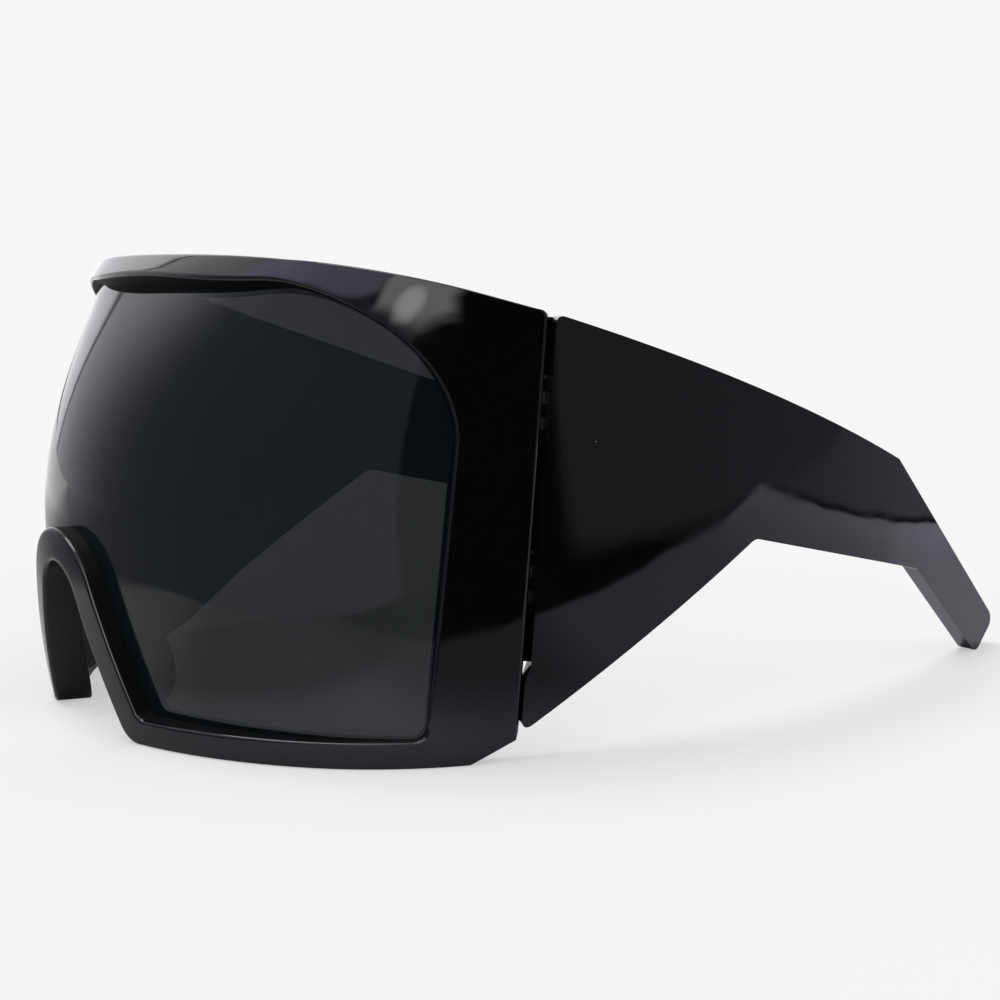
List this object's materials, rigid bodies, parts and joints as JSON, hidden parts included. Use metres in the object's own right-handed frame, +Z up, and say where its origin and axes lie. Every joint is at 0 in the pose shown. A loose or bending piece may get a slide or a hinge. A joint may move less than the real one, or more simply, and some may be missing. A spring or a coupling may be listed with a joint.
{
  "type": "oversized sunglasses",
  "caption": "Oversized wraparound shield sunglasses in glossy black plastic, with a smoked lens, a deep nose notch and tall folding temples that bend down to narrow tips.",
  "frame": {"origin": "on the surface that the glasses stand on, midway from side to side and midway from the front of the nose arch to the ends of the temple tips", "axes": "+X to the wearer's left, +Y backwards from the lens to the temple tips, +Z up"},
  "size_m": [0.1522, 0.1894, 0.0882],
  "materials": {
    "black_plastic": "polished black injection-moulded plastic",
    "smoked_lens": "clear polycarbonate tinted dark grey-green, polished both sides",
    "soft_pad": "satin black silicone",
    "hinge_metal": "black-plated nickel silver",
    "steel_screw": "turned steel, black-plated"
  },
  "bodies": {
    "front": {"front_frame": "black_plastic", "lens": "smoked_lens", "nose_pad_left": "soft_pad", "nose_pad_right": "soft_pad", "upper_front_leaf_left": "hinge_metal", "upper_hinge_screw_left": "steel_screw", "lower_front_leaf_left": "hinge_metal", "lower_hinge_screw_left": "steel_screw", "front_leaf_screws_left": "steel_screw", "upper_front_leaf_right": "hinge_metal", "upper_hinge_screw_right": "steel_screw", "lower_front_leaf_right": "hinge_metal", "lower_hinge_screw_right": "steel_screw", "front_leaf_screws_right": "steel_screw"},
    "left_temple": {"temple_left": "black_plastic", "upper_temple_leaf_left": "hinge_metal", "lower_temple_leaf_left": "hinge_metal", "temple_leaf_screws_left": "steel_screw"},
    "right_temple": {"temple_right": "black_plastic", "upper_temple_leaf_right": "hinge_metal", "lower_temple_leaf_right": "hinge_metal", "temple_leaf_screws_right": "steel_screw"}
  },
  "joints": [
    {"name": "left_temple_fold", "type": "hinge", "parent": "front", "child": "left_temple", "pos_m": [0.06816, -0.03152, 0.04477], "axis": [0.0184, 0.0976, 0.9951], "range_deg": [0, 90]},
    {"name": "right_temple_fold", "type": "hinge", "parent": "front", "child": "right_temple", "pos_m": [-0.06816, -0.03152, 0.04477], "axis": [0.0184, -0.0976, -0.9951], "range_deg": [0, 77]}
  ]
}
